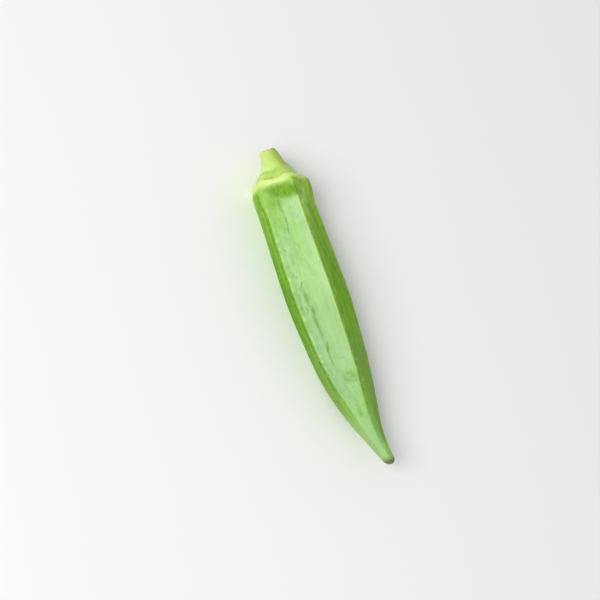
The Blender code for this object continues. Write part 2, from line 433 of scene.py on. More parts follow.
def collar_shade(distance):
    """Darker band below the lip, own colour and painted shade, from 0 to 1, with a ragged lower
    edge.
    """
    sunny_end = SUNNY_BAND_END - SUNNY_BAND_TAPER * (distance - TAPER_FROM)
    sunny = 1 - ramp(sunny_end + SUNNY_BAND_FADE[0], sunny_end + SUNNY_BAND_FADE[1], step_of)
    sunny = sunny * (1 - SUNNY_BAND_LOSS * step_of)
    across = np.where(on_right, RIGHT_BAND_SHARE * ramp(*RIGHT_BAND, step_of), mid_face)
    shade = np.where(in_sun, sunny, across) * ramp(*BAND_STARTS, distance)
    shade = shade * (1 - ramp(band_end + BAND_FADE[0], band_end + BAND_FADE[1], distance))
    shade = shade * (1 - CORNER_GAP * at_corner * (1 - ramp(*CORNER_GAP_CLOSES, distance)))
    corner = corner_share * window(*CORNER_SPAN, distance)
    tail = tail_share * window(*TAIL_SPAN, distance)
    return np.maximum(np.maximum(shade, tail), corner)


# The paler shoulder, painted light where the collar's flare turns the skin to the key light:
# its strength across the right face, less at the corner, and on the left face, how it fades
# down the pod, and its part of the lip on the sunny face
SHOULDER_LEAST = 0.12
SHOULDER_GAIN = 0.93
SHOULDER_ACROSS = (0.35, 0.8)
SHOULDER_CORNER = 0.35
SHOULDER_CORNER_ACROSS = (0.88, 1.0)
SHOULDER_CORNER_ENDS = (16.5, 19.5)
LEFT_SHOULDER = 0.3
SHOULDER_STARTS = (11.0, 14.0)
SHOULDER_FADES = (17.0, 21.5)
SHOULDER_LONGER = 17.0
SHOULDER_LIP = 0.75
SHOULDER_LIP_SPAN = ((11.0, 12.0), (13.8, 15.4))

shoulder_share = on_right * (SHOULDER_LEAST + SHOULDER_GAIN * ramp(*SHOULDER_ACROSS, step_of))
shoulder_share = shoulder_share + on_left * LEFT_SHOULDER
shoulder_corner = on_right * SHOULDER_CORNER * ramp(*SHOULDER_CORNER_ACROSS, step_of)
shoulder_lip = SHOULDER_LIP * in_sun * hump(step_of, CORNER_WIDTH)


def painted_shoulder_light(distance):
    """Painted light: paler skin on the faces beside the sunny one, from the lip down the shoulder.
    """
    share = shoulder_share - shoulder_corner * (1 - ramp(*SHOULDER_CORNER_ENDS, distance))
    fade_start, fade_end = SHOULDER_FADES
    faded = 1 - ramp(fade_start, fade_end + SHOULDER_LONGER * step_of, distance)
    share = share * ramp(*SHOULDER_STARTS, distance) * faded
    return share + shoulder_lip * window(*SHOULDER_LIP_SPAN, distance)


WRINKLES_ACROSS = 20.0
WRINKLES_DOWN = 1.152
WRINKLE_LENGTH = 9
WRINKLE_EDGES = (0.0, 0.45)
WRINKLE_SPAN = ((11.0, 13.0), (18.0, 25.0))


def wrinkle_mask(distance):
    """Pale wrinkles that run slantwise down the right face's shoulder."""
    across = WRINKLES_ACROSS * (1 - step_of) + WRINKLES_DOWN * (distance - TAPER_FROM)
    down = (nothing + distance) / WRINKLE_LENGTH
    lines = ripples([(value, place, 0) for value, place in zip(across, down)], 13)
    return ramp(*WRINKLE_EDGES, lines) * on_right * window(*WRINKLE_SPAN, distance)


sags = np.array(RIM_SAGS)
rim_shift = mix(sags[face_of], sags[(face_of + 1) % FACES], ramp(0.0, 1.0, step_of))
rim_shift = rim_shift + RIM_WAVE * mid_face

# Values for each of the five ridges or faces: how bright the rib is, with its painted highlight,
# how much painted shade deepens the green of the face, and how far from the rib and how wide the
# dark line along its foot is, partly painted shade
RIDGE_CREST_AND_HIGHLIGHT = (0.5, 1.0, 0.15, 0.2, 0.5)
FACE_PAINTED_SHADE = (0.0, 0.0, 0.4, 0.45, 0.35)
FOOT_PLACE = (1.0, 0.95, 3.2, 1.05, 1.05)
FOOT_WIDTH = (0.42, 0.4, 0.95, 0.42, 0.42)
FOOT_SHARE_RIGHT = 0.3
FOOT_LOSS_LEFT = 0.85
FOOT_UNBROKEN_LEFT = 0.45
FOOT_SHADE_LEFT = (0.25, (0.6, 0.85))
PAINTED_SHADE_RIGHT = (0.42, (0.35, 0.85))
PAINTED_SHADE_LEFT = (0.35, (0.52, 0.75))
RIB_MARK_WIDTH = 0.27
BROAD_RIB_MARK_WIDTH = 0.85
FAR_SIDE = (0.42, 0.75)
RIGHT_SIDE = (0.35, 0.95)


def side_share(share, across):
    return share * ramp(*across, step_of)


ridge_of = (face_of + far_half) % FACES
ridge_crest_and_highlight = np.array(RIDGE_CREST_AND_HIGHLIGHT)[ridge_of]
face_painted_shade, foot_place, foot_width = (
    np.array(values)[face_of] for values in (FACE_PAINTED_SHADE, FOOT_PLACE, FOOT_WIDTH)
)
rib_width = np.where(on_right * far_half, BROAD_RIB_MARK_WIDTH, RIB_MARK_WIDTH)
beside_painted_shade = on_right * (PAINTED_SHADE_RIGHT[0] - side_share(*PAINTED_SHADE_RIGHT))
beside_painted_shade = beside_painted_shade + on_left * side_share(*PAINTED_SHADE_LEFT)
under_left = on_left * side_share(*FOOT_SHADE_LEFT)
foot_strength = np.where(on_right * (step_of < 0.5), FOOT_SHARE_RIGHT, 1.0) * (1 - in_sun)
foot_strength = foot_strength * (1 - FOOT_LOSS_LEFT * on_left * far_half)
far_side = ramp(*FAR_SIDE, step_of)
right_side = on_right * ramp(*RIGHT_SIDE, step_of)

# How the marks along the ribs and faces change down the pod, at each distance or span
RIB_SPAN = ((15, 18), (72, 86))
FRONT_RIB_SPAN = ((15, 18), (84, 94))
RIB_PLAIN = 0.72
RIB_PATCHY = 0.5
RIB_MOST = 1.2
RIB_WIDENS = (48, 62)
RIB_WIDENING = 0.5
BEAD_PLACE = 0.35
BEAD_WIDTH = 0.4
BEAD_EDGES = (0.05, 0.35)
SPECK_SHARE = 0.6
FOOT_EDGES = (-0.2, 0.3)
FOOT_NARROWS = (60, 80)
FOOT_NARROWING = 0.35
FOOT_TIP_FADE = (76, 92)
FOOT_TIP_LOSS = 0.7
LEFT_FOOT_SOONER = 8
EDGE_WIDTH = 1.5
PAINTED_SHADE_STARTS = (13, 20)
PAINTED_SHADE_FADES = (80, 93)
PAINTED_SHADE_LOSS = 0.8
BESIDE_STARTS = (28, 42)
BESIDE_FADES = (60, 75)
BESIDE_LOSS = 0.4
LEFT_PAINTED_SHADE = 0.3
LEFT_PAINTED_SHADE_SPAN = ((36, 48), (78, 90))

MARK_NAMES = (
    "rib", "foot", "edge", "bead", "crease", "scuff", "bowl", "shoulder", "wrinkle",
    "lip", "along", "lump", "sun", "far", "depth", "left", "right",
)
rings = []
marks = {name: [] for name in MARK_NAMES}


def rib_marks(distance, from_ridge):
    """Brightness of the rib (partly painted highlight), its beads, and its dashed dark foot line
    (partly painted shade).
    """
    middle = float(distance.mean())
    beads = lane_noise("rib beads", middle)[ridge_of]
    patches = lane_noise("rib patches", middle)[ridge_of]
    dashes = lane_noise("foot dashes", middle, 2 * FACES)
    dashes = dashes + SPECK_SHARE * lane_noise("foot specks", middle, 2 * FACES)
    dashes = dashes[2 * face_of + far_half]
    shown = window(*RIB_SPAN, distance)
    crest_and_highlight = np.where(ridge_of == FRONT_RIDGE, window(*FRONT_RIB_SPAN, distance), shown)
    crest_and_highlight = crest_and_highlight * ridge_crest_and_highlight
    crest_and_highlight = crest_and_highlight * np.clip(RIB_PLAIN + RIB_PATCHY * (beads + patches), 0, RIB_MOST)
    rib = hump(from_ridge, rib_width * (1 + RIB_WIDENING * ramp(*RIB_WIDENS, distance))) * crest_and_highlight
    bead = hump(from_ridge - BEAD_PLACE, BEAD_WIDTH) * in_sun * far_half
    bead = bead * shown * ramp(*BEAD_EDGES, beads)
    foot_at = foot_place * (1 - FOOT_NARROWING * ramp(*FOOT_NARROWS, distance))
    foot = hump(from_ridge - foot_at, foot_width) * foot_strength
    foot = foot * ramp(*FOOT_EDGES, dashes + FOOT_UNBROKEN_LEFT * on_left)
    fade_start, fade_end = FOOT_TIP_FADE
    tip_loss = mix(FOOT_TIP_LOSS, 1.0, on_left)
    tip_loss = tip_loss * ramp(fade_start, fade_end - LEFT_FOOT_SOONER * on_left, distance)
    foot = np.maximum(foot, under_left) * ramp(*RIB_SPAN[0], distance) * (1 - tip_loss)
    return {"rib": rib, "bead": bead, "foot": foot, "edge": hump(from_ridge, EDGE_WIDTH)}


def painted_face_shade(distance):
    """Painted shade: deeper green on the faces that turn away from the sunny one."""
    depth = face_painted_shade * ramp(*PAINTED_SHADE_STARTS, distance)
    depth = depth * (1 - PAINTED_SHADE_LOSS * ramp(*PAINTED_SHADE_FADES, distance))
    beside = beside_painted_shade * np.maximum(ramp(*BESIDE_STARTS, distance), on_left)
    beside = beside * (1 - BESIDE_LOSS * ramp(*BESIDE_FADES, distance))
    return depth + beside + LEFT_PAINTED_SHADE * on_left * window(*LEFT_PAINTED_SHADE_SPAN, distance)


def collar_marks(distance, share=1.0):
    return {
        "bowl": collar_shade(distance) * share,
        "shoulder": painted_shoulder_light(distance) * share,
        "wrinkle": wrinkle_mask(distance) * share,
    }


def add_ring(distance, shape, path, **found):
    """Keep one ring of points, and what the skin's colours need to know about them."""
    angle, radius, from_ridge = shape
    distance = nothing + distance
    rings.append(points_at(distance, angle, radius))
    found.update(rib_marks(distance, from_ridge))
    found.update(along=distance, lip=nothing + path, depth=painted_face_shade(distance))
    found.update(sun=in_sun, far=far_side, left=on_left, right=right_side)
    for name in MARK_NAMES:
        marks[name].append(found.get(name, nothing))


LIP_EDGE = 0.4
RIM_ROUGH = 0.1
RIM_ROUGH_OPENS = (6.2, 7.2)
LIP_ROUGH = 0.18
ROUGH_WAVES = 3
ROUGH_ROWS = 3

rim_table = [(index, *row) for index, row in enumerate(RIM_ROWS)]
for ring_index in range((len(RIM_ROWS) - 1) * RINGS_PER_RIM_ROW):
    row_place = ring_index / RINGS_PER_RIM_ROW
    distance, ridge_radius, roundness, wave_share = curve_at(rim_table, row_place)
    grown = ramp(RIB_START_RADIUS, POD_OUTLINE[0][1], ridge_radius)
    rib = RIB_HEIGHT * (1 - COLLAR_RIB_LOSS) * grown
    angle, radius, from_ridge = section(distance, ridge_radius, roundness, rib)
    spots = around(angle, ROUGH_WAVES)
    rough = ripples([(*spot, row_place / ROUGH_ROWS) for spot in spots], 3)
    place = distance + wave_share * rim_shift
    outside = ramp(LIP_RADIUS, LIP_RADIUS + LIP_EDGE, ridge_radius)
    radius = radius + RIM_ROUGH * rough * ramp(*RIM_ROUGH_OPENS, ridge_radius)
    radius = radius - DIP_DEPTH * collar_dip(place) * outside
    place = place + wave_share * LIP_ROUGH * rough
    shape = (angle, radius, from_ridge)
    add_ring(place, shape, row_place - LIP_ROW, **collar_marks(place, outside))

SWELL = 0.12
SWELL_LENGTH = 9
SWELL_WAVES = 1.6
SWELL_TIP_LOSS = 0.6
PIMPLE_HEIGHT = 0.035
PIMPLE_LENGTH = 1.3
PIMPLE_WAVES = 7
RIB_CHATTER = 0.1
CHATTER_TIP_LOSS = 0.7
RELIEF_STARTS = (15.8, 20)
BODY_PATH = 20.0
TIP_PATH = 30.0

for distance in np.linspace(POD_OUTLINE[0][0], POD_OUTLINE[-1][0], BODY_RINGS):
    angle, radius, from_ridge = body_section(distance)
    fade = ramp(*FADE_SPAN, distance)
    face_width = float(2 * math.pi / FACES * curve_at(POD_OUTLINE, distance))
    crease = crease_mask(distance, face_width)
    scuff = scuff_mask(distance, face_width)
    lumps = seed_lumps(distance, face_width)
    spots, fine_spots = around(angle, SWELL_WAVES), around(angle, PIMPLE_WAVES)
    swells = ripples([(distance / SWELL_LENGTH, *spot) for spot in spots], 4)
    pimples = ripples([(distance / PIMPLE_LENGTH, *spot) for spot in fine_spots], 11)
    relief = lumps + SWELL * swells * (1 - SWELL_TIP_LOSS * fade) - CREASE_DEPTH * crease
    relief = relief - SCUFF_DEPTH * scuff + PIMPLE_HEIGHT * pimples
    chatter = lane_noise("rib chatter", distance)[ridge_of] * (1 - CHATTER_TIP_LOSS * fade)
    relief = mix(relief, RIB_CHATTER * chatter, hump(from_ridge, RIB_WIDTH))
    radius = radius + relief * ramp(*RELIEF_STARTS, distance) - DIP_DEPTH * collar_dip(distance)
    found = {"crease": crease, "scuff": scuff, "lump": lumps / SEED_LUMP, **collar_marks(distance)}
    add_ring(distance, (angle, radius, from_ridge), BODY_PATH, **found)

for distance, ridge_radius in TIP_ROWS:
    add_ring(distance, section(distance, ridge_radius, TIP_ROUNDNESS, 0.0), TIP_PATH)


scene = bpy.context.scene


def add_object(name, data):
    made = bpy.data.objects.new(name, data)
    scene.collection.objects.link(made)
    return made


def closed_skin(name, loops, first_point, last_point):
    """Closed mesh through the loops, with a fan at each end."""
    count = len(loops[0])
    points = [tuple(point) for loop in loops for point in loop]
    faces = []
    for row in range(len(loops) - 1):
        near, far = row * count, (row + 1) * count
        for index in range(count):
            after = (index + 1) % count
            faces.append((near + index, near + after, far + after, far + index))
    last_row = (len(loops) - 1) * count
    points.append(tuple(first_point))
    points.append(tuple(last_point))
    for index in range(count):
        after = (index + 1) % count
        faces.append((after, index, len(points) - 2))
        faces.append((last_row + index, last_row + after, len(points) - 1))
    mesh = bpy.data.meshes.new(name)
    mesh.from_pydata(points, [], faces)
    grown = bmesh.new()
    grown.from_mesh(mesh)
    bmesh.ops.recalc_face_normals(grown, faces=grown.faces)
    grown.to_mesh(mesh)
    grown.free()
    mesh.shade_smooth()
    return add_object(name, mesh)


def keep_marks(piece, named_rows):
    """Store per-point values, row by row, as attributes that the material reads."""
    for mark, rows in named_rows.items():
        flat = np.concatenate(rows)
        values = np.concatenate([flat, flat[:1], flat[-1:]]).astype(np.float32)
        layer = piece.data.attributes.new(mark, "FLOAT", "POINT")
        layer.data.foreach_set("value", values)


zero = np.zeros(1)
floor_centre = points_at(RIM_FLOOR, zero, zero)[0]
tip_point = points_at(tip_distance, zero, zero)[0]
pod_skin = closed_skin("pod_skin", rings, floor_centre, tip_point)
keep_marks(pod_skin, marks)


def linear(red, green, blue):
    """Linear colour from screen values from 0 to 255."""
    shares = np.array((red, green, blue)) / 255
    parts = np.where(shares <= 0.04045, shares / 12.92, ((shares + 0.055) / 1.055) ** 2.4)
    return (*parts, 1.0)


class Link:
    """A socket of a material's nodes that takes part in Python sums."""

    def __init__(self, paint, socket):
        self.paint = paint
        self.socket = socket

    def math(self, operation, first, second):
        return self.paint.node("ShaderNodeMath", {"operation": operation}, {0: first, 1: second})

    def __add__(self, other):
        return self.math("ADD", self, other)

    __radd__ = __add__

    def __sub__(self, other):
        return self.math("SUBTRACT", self, other)

    def __rsub__(self, other):
        return self.math("SUBTRACT", other, self)

    def __mul__(self, other):
        return self.math("MULTIPLY", self, other)

    __rmul__ = __mul__


class Tree:
    """A node tree under construction: all its nodes are made by one method, add."""

    def __init__(self, tree):
        self.tree = tree

    def add(self, kind, settings=None, sockets=None):
        made = self.tree.nodes.new(kind)
        for setting, value in (settings or {}).items():
            setattr(made, setting, value)
        self.feed(made, sockets or {})
        return made.outputs

    def feed(self, node, sockets):
        for name, value in sockets.items():
            value = value.socket if isinstance(value, Link) else value
            if isinstance(value, bpy.types.NodeSocket):
                self.tree.links.new(value, node.inputs[name])
            else:
                node.inputs[name].default_value = value


class Paint(Tree):
    """A material under construction, whose values are links that can be summed."""

    def __init__(self, name):
        self.material = bpy.data.materials.new(name)
        self.material.use_nodes = True
        super().__init__(self.material.node_tree)

    def node(self, kind, settings=None, sockets=None, output=0):
        return Link(self, self.add(kind, settings, sockets)[output])

    def place(self, stretch):
        """Object coordinates in millimetres, each axis divided by its stretch."""
        scale = [1 / (MM * length) for length in stretch]
        spot = self.node("ShaderNodeTexCoord", output="Object")
        return self.node("ShaderNodeVectorMath", {"operation": "MULTIPLY"}, {0: spot, 1: scale})

    def cloud(self, stretch, detail=3.0, roughness=0.5):
        """Noise from 0 to 1 whose patches are about stretch millimetres along each axis."""
        settings = {"normalize": True}
        sockets = {"Vector": self.place(stretch), "Scale": 1.0}
        sockets.update({"Detail": detail, "Roughness": roughness})
        return self.node("ShaderNodeTexNoise", settings, sockets)

    def mark(self, name):
        return self.node("ShaderNodeAttribute", {"attribute_name": name}, output="Fac")

    def band(self, value, low, high):
        """0 below low, 1 above high, and a smooth step between."""
        sockets = {"Value": value, "From Min": low, "From Max": high}
        return self.node("ShaderNodeMapRange", {"interpolation_type": "SMOOTHSTEP"}, sockets)

    def blend(self, share, first, second):
        """Mix two colours, each a link or screen values from 0 to 255."""
        sockets = {"Factor": share}
        for socket, tint in ((6, first), (7, second)):
            sockets[socket] = tint if isinstance(tint, Link) else linear(*tint)
        return self.node("ShaderNodeMix", {"data_type": "RGBA"}, sockets, output=2)

    def bump(self, height, depth, strength=1.0):
        sockets = {"Height": height, "Distance": depth * MM, "Strength": strength}
        return self.node("ShaderNodeBump", sockets=sockets)

    def window(self, value, rise, fall):
        """Smooth step up over rise and down over fall, each a low and a high value."""
        return self.band(value, *rise) * (1 - self.band(value, *fall))

    def dots(self, spacing, edges):
        """Dots about spacing millimetres apart along each axis, which fade out over edges."""
        sockets = {"Vector": self.place(spacing), "Scale": 1.0, "Randomness": 1.0}
        nearest = self.node("ShaderNodeTexVoronoi", {"feature": "F1"}, sockets)
        return 1 - self.band(nearest, *edges)

    def layers(self, colour, rows):
        """Blend tints over a colour in turn: each row is a mask, its share and the tint."""
        for mask, share, tint in rows:
            colour = self.blend(mask * share, colour, tint)
        return colour

    def surface(self, sockets):
        self.feed(self.tree.nodes["Principled BSDF"], sockets)

    def finish(self, piece, sockets):
        self.surface(sockets)
        piece.data.materials.clear()
        piece.data.materials.append(self.material)


SKIN_GREEN = (144, 200, 60)
DEEP_GREEN_AND_SHADE = (104, 158, 28)
YELLOW_GREEN = (160, 208, 84)
BLOOM_SHEEN_GREEN = (166, 206, 154)
OLIVE_GREEN = (164, 192, 92)
RIB_CREST_AND_HIGHLIGHT_GREEN = (184, 228, 74)
LATE_RIB_CREST_AND_HIGHLIGHT_GREEN = (158, 204, 76)
FOOT_DARK_AND_SHADE_GREEN = (66, 112, 30)
SCUFF_AND_CREASE_SHADE_GREEN = (88, 140, 50)
BOWL_DEEP_AND_SHADE_GREEN = (106, 152, 46)
SHOULDER_LIT_GREEN = (182, 228, 98)
WRINKLE_PALE = (216, 238, 158)
GREY_GREEN = (130, 170, 82)
DIM_SHADE_GREEN = (108, 142, 100)
LIP_CREAM = (218, 243, 142)
LIP_LIT_YELLOW = (240, 255, 140)
DOT_PALE = (190, 224, 120)
BEAD_PALE = (190, 230, 152)
SCAR_BROWN = (182, 136, 84)
RUSSET = (198, 178, 124)
TIP_GREEN = (178, 220, 104)
TIP_OLIVE = (150, 150, 84)
TIP_BROWN = (126, 134, 96)
TIP_RIM_BROWN = (92, 100, 58)
SPECK_GREEN = (64, 106, 34)

BROWN_TIP_RAGGED = 1.4
TIP_RIM_RAGGED = 0.6
LIP_WANDER = 1.8
LIP_PLAIN = 0.75
LIP_IN_SUN = 0.1
LIP_PATCHY = 0.15
PATCH_EDGES = (0.4, 0.58)
DOTS_LOST = 0.85
MOSTLY = 0.6

# The pale bloom and painted sheen on the sunny face: how much of it each thing takes away or adds
BLOOM_SHEEN = 0.95
BLOOM_SHEEN_LOSS_FAR = 0.12
BLOOM_SHEEN_LOSS_COLLAR = 0.45
BLOOM_SHEEN_LOSS_TIP = 0.12
BLOOM_SHEEN_LOSS_PATCHES = 0.2
BLOOM_SHEEN_LOSS_SCUFF = 0.6
BLOOM_SHEEN_LOSS_LAST = 0.15
BLOOM_SHEEN_LEFT_TIP = 0.7
BLOOM_SHEEN_RIGHT_TIP = 0.5
BLOOM_SHEEN_SHARE = 0.34
BLOOM_SHEEN_SHARE_HIGH = 0.1
BLOOM_SHEEN_SHARE_TIP = 0.08
BLOOM_SHEEN_SHARE_FAR = 0.3
BLOOM_SHEEN_SHARE_DOWN = 0.36
BLOOM_SHEEN_SHARE_RIDGE = 0.35

SKIN_ROUGHNESS = 0.5
BROWN_ROUGHER = 0.25
GRAIN_ROUGHER = 0.1
BLOOM_GLOSS = 0.8
BLOOM_DULLER = 0.22
RIDGE_GLOSS = 0.14
LIP_GLOSS = 0.35
BOWL_DULLER = 0.9
RELIEF_DEPTH = 0.14
RELIEF_STRENGTH = 0.7


def mostly(first, second):
    return first * MOSTLY + second * (1 - MOSTLY)


skin = Paint("okra_skin")
streaks = skin.cloud((9, 1.4, 1.4), detail=5, roughness=0.6)
fine_streaks = skin.cloud((6, 0.55, 0.55), detail=3, roughness=0.55)
blotches = skin.cloud((3.6, 1.7, 1.7), detail=5, roughness=0.62)
patches = skin.cloud((7, 4, 4), detail=4, roughness=0.55)
large_patches = skin.cloud((22, 9, 9), detail=2)
scar_patches = skin.cloud((1.2, 1.2, 1.2), detail=3)
grain = skin.cloud((0.5, 0.32, 0.32), detail=3, roughness=0.6)
(
    rib, foot, edge, bead, crease, scuff, bowl, shoulder, wrinkle,
    lip, along, lump, sun, far, depth, left, right,
) = (skin.mark(name) for name in MARK_NAMES)
shade = 1 - sun

# Masks from 0 to 1: along, lip and the noise are compared with the values that follow them
below_collar = 1 - skin.band(along, 20, 33)
towards_tip = skin.band(along, 38, 66)
at_tip = skin.band(along, 84, 98)
last_part = skin.band(along, 97, 102)
# Bloom and painted sheen: the skin's waxy bloom, with the key light's sheen painted in on the sunny
# face
bloom_sheen_loss = far * (BLOOM_SHEEN_LOSS_FAR + BLOOM_SHEEN_LOSS_COLLAR * below_collar)
bloom_sheen = sun * (BLOOM_SHEEN - bloom_sheen_loss - towards_tip * BLOOM_SHEEN_LOSS_TIP)
bloom_sheen = bloom_sheen + at_tip * (left * BLOOM_SHEEN_LEFT_TIP + right * BLOOM_SHEEN_RIGHT_TIP)
clouded = 1 - skin.band(mostly(patches, large_patches), *PATCH_EDGES)
bloom_sheen = bloom_sheen * (1 - BLOOM_SHEEN_LOSS_PATCHES * clouded)
bloom_sheen = bloom_sheen * (1 - bowl) * (1 - shoulder) * skin.band(along, 9.5, 13)
bloom_sheen = bloom_sheen * (1 - BLOOM_SHEEN_LOSS_SCUFF * scuff) * (1 - BLOOM_SHEEN_LOSS_LAST * last_part)
near_ridge = edge * (1 - far) * (1 - towards_tip) * sun
bloom_sheen_share = BLOOM_SHEEN_SHARE + far * BLOOM_SHEEN_SHARE_FAR + towards_tip * BLOOM_SHEEN_SHARE_DOWN
bloom_sheen_share = bloom_sheen_share + BLOOM_SHEEN_SHARE_HIGH * skin.window(along, (21, 28), (34, 42))
bloom_sheen_share = bloom_sheen_share + BLOOM_SHEEN_SHARE_TIP * at_tip + BLOOM_SHEEN_SHARE_RIDGE * near_ridge

streaked = skin.band(streaks, 0.38, 0.66)
yellowed = skin.band(large_patches, 0.45, 0.6)
blotched = skin.band(blotches, 0.54, 0.64)
bruised = skin.band(blotches, 0.4, 0.55)
mottled = skin.band(mostly(blotches, streaks), *PATCH_EDGES)
rib_crest_and_highlight_colour = skin.blend(skin.band(along, 46, 60), RIB_CREST_AND_HIGHLIGHT_GREEN, LATE_RIB_CREST_AND_HIGHLIGHT_GREEN)
dotted = skin.dots((1.5, 0.9, 0.9), (0.14, 0.26)) * edge * (1 - sun * towards_tip * DOTS_LOST)
on_lip = skin.band(lip, -3.0, -1.4)
on_lip = on_lip * (1 - skin.band(lip + (streaks - 0.5) * LIP_WANDER, 2.7, 4.9))
on_lip = on_lip * (LIP_PLAIN + LIP_IN_SUN * sun + LIP_PATCHY * skin.band(blotches, *PATCH_EDGES))
in_rim = (1 - skin.band(lip, -3.2, -1.8)) * skin.band(scar_patches, 0.42, 0.58)
speckled = skin.dots((1.9, 1.5, 1.5), (0.16, 0.28)) * skin.window(along, (56, 64), (78, 86))
russet = skin.window(along, (93, 97), (100, 103)) * skin.band(patches, 0.4, 0.6)
brown_tip = skin.band(along + patches * BROWN_TIP_RAGGED, 104.2, 106.0)
tip_rim = skin.band(along + grain * TIP_RIM_RAGGED, 105.2, 105.6)
tip_rim = tip_rim * (1 - skin.band(along, 105.7, 106.1))

# From the deepest layer to the topmost
skin_layers = (
    (streaked, 0.7 - sun * 0.3, DEEP_GREEN_AND_SHADE),
    (sun * far * (0.08 + 0.5 * below_collar) + 0.15 * yellowed, 1.0, YELLOW_GREEN),
    # painted shade: deeper green on the faces turned away from the key light
    (depth, 1.0, DEEP_GREEN_AND_SHADE),
    (skin.band(fine_streaks, 0.4, 0.75) * shade, 0.08 + 0.4 * edge, OLIVE_GREEN),
    (shade * skin.band(along, 58, 72), 0.55 - 0.25 * at_tip, GREY_GREEN),
    # painted light: the shoulders turned towards the key light paler
    (shoulder, 1.0, SHOULDER_LIT_GREEN),
    (wrinkle, 0.45, WRINKLE_PALE),
    (shade * (1 - left) * last_part, 0.55, TIP_GREEN),
    # sunny face paler: its waxy bloom, and painted sheen of the key light
    (bloom_sheen, bloom_sheen_share, BLOOM_SHEEN_GREEN),
    # painted shade: the sunny face a little darker over its middle stretch
    (sun * skin.window(along, (42, 56), (80, 90)), 0.15, DIM_SHADE_GREEN),
    (at_tip * left, 0.2, TIP_OLIVE),
    (blotched, 0.12 + far * 0.14, DEEP_GREEN_AND_SHADE),
    (lump, 0.1, BLOOM_SHEEN_GREEN),
    # painted shade along the crease's furrow; the scuffs below are real bruises in the same colour
    (crease, 0.45, SCUFF_AND_CREASE_SHADE_GREEN),
    (scuff, 0.38 + 0.38 * bruised, SCUFF_AND_CREASE_SHADE_GREEN),
    # dark line at the rib's foot: partly the skin's own dark line, partly painted shade in the
    # groove there
    (foot, 0.75, FOOT_DARK_AND_SHADE_GREEN),
    # the rib's paler crest with a painted highlight, strongest on the ridge nearest the key light
    (rib, 0.85, rib_crest_and_highlight_colour),
    (bead, 0.55, BEAD_PALE),
    # band below the lip: the skin's own deeper green, and painted shade under the lip
    (bowl, 0.65 + 0.35 * mottled, BOWL_DEEP_AND_SHADE_GREEN),
    (dotted, 0.45, DOT_PALE),
    # the lip's cream, painted lighter and yellower on the right face, which is turned from the key
    # light
    (on_lip, 1.0, skin.blend(right, LIP_CREAM, LIP_LIT_YELLOW)),
    (in_rim, 0.7, SCAR_BROWN),
    (speckled * right, 0.7, DOT_PALE),
    (skin.dots((3.0, 2.2, 2.2), (0.04, 0.1)), 0.45, SPECK_GREEN),
    (russet * left * far, 0.6, RUSSET),
    (brown_tip, 0.85, TIP_BROWN),
    (tip_rim, 0.6, TIP_RIM_BROWN),
)
gloss = bloom_sheen * (BLOOM_GLOSS - BLOOM_DULLER * skin.band(along, 42, 56))
gloss = gloss + near_ridge * RIDGE_GLOSS + on_lip * LIP_GLOSS
gloss = gloss * (1 - bowl * BOWL_DULLER) * (1 - brown_tip)
relief = blotches * 0.35 + streaks * 0.25 + grain * 0.22 + patches * 0.2
skin_sockets = {
    "Base Color": skin.layers(SKIN_GREEN, skin_layers),
    "Roughness": SKIN_ROUGHNESS + brown_tip * BROWN_ROUGHER + grain * GRAIN_ROUGHER,
    "Specular IOR Level": 0.03,
    "Coat Weight": gloss,
    "Coat Roughness": 0.4,
    "Coat IOR": 1.65,
    "Normal": skin.bump(relief, RELIEF_DEPTH, RELIEF_STRENGTH),
}
skin.finish(pod_skin, skin_sockets)

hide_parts("pod")
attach(pod_skin, "root")

# --------------------------------------------------
# The down: fine short hairs that grow straight out of the pod's skin, closest
# together along the ridges, and lean a little towards the tip.
# --------------------------------------------------

HAIR_STRAY = 0.35
HAIR_SIZES = (0.6, 1.2)
HAIR_SIDES = 3
HAIR_INPUTS = {
    "Hairs per area": ("NodeSocketFloat", 1.1 / MM**2),
    "Ridge hairs per area": ("NodeSocketFloat", 1.6 / MM**2),
    "Hair length": ("NodeSocketFloat", 0.26 * MM),
    "Hair radius": ("NodeSocketFloat", 0.02 * MM),
    "Lean": ("NodeSocketFloat", 0.3),
    "Lowest height": ("NodeSocketFloat", 0.5 * MM),
    "Seed": ("NodeSocketInt", 12),
}
HAIR_PALE = (206, 230, 160)
HAIR_GREEN = (176, 214, 120)

down = Paint("okra_down")
down_patches = down.cloud((3, 3, 3), detail=2)
down_colour = down.blend(down_patches, HAIR_PALE, HAIR_GREEN)
down.surface({"Base Color": down_colour, "Roughness": 0.6, "Specular IOR Level": 0.15})

growth = Tree(bpy.data.node_groups.new("down_growth", "GeometryNodeTree"))
interface = growth.tree.interface
interface.new_socket("Skin", in_out="INPUT", socket_type="NodeSocketGeometry")
for title, (kind, value) in HAIR_INPUTS.items():
    interface.new_socket(title, in_out="INPUT", socket_type=kind)
interface.new_socket("Hairs", in_out="OUTPUT", socket_type="NodeSocketGeometry")
grow = growth.add
given = grow("NodeGroupInput")
ridge_share = grow("GeometryNodeInputNamedAttribute", {"data_type": "FLOAT"}, {"Name": "edge"})
more = grow(
    "ShaderNodeMath",
    {"operation": "MULTIPLY_ADD"},
    {0: ridge_share["Attribute"], 1: given["Ridge hairs per area"], 2: given["Hairs per area"]},
)
spot = grow("GeometryNodeInputPosition")
spot_parts = grow("ShaderNodeSeparateXYZ", {}, {0: spot[0]})
off_surface = grow(
    "FunctionNodeCompare",
    {"operation": "GREATER_THAN"},
    {0: spot_parts["Z"], 1: given["Lowest height"]},
)
roots = grow(
    "GeometryNodeDistributePointsOnFaces",
    {"distribute_method": "RANDOM"},
    {"Mesh": given["Skin"], "Selection": off_surface[0], "Density": more[0], "Seed": given["Seed"]},
)
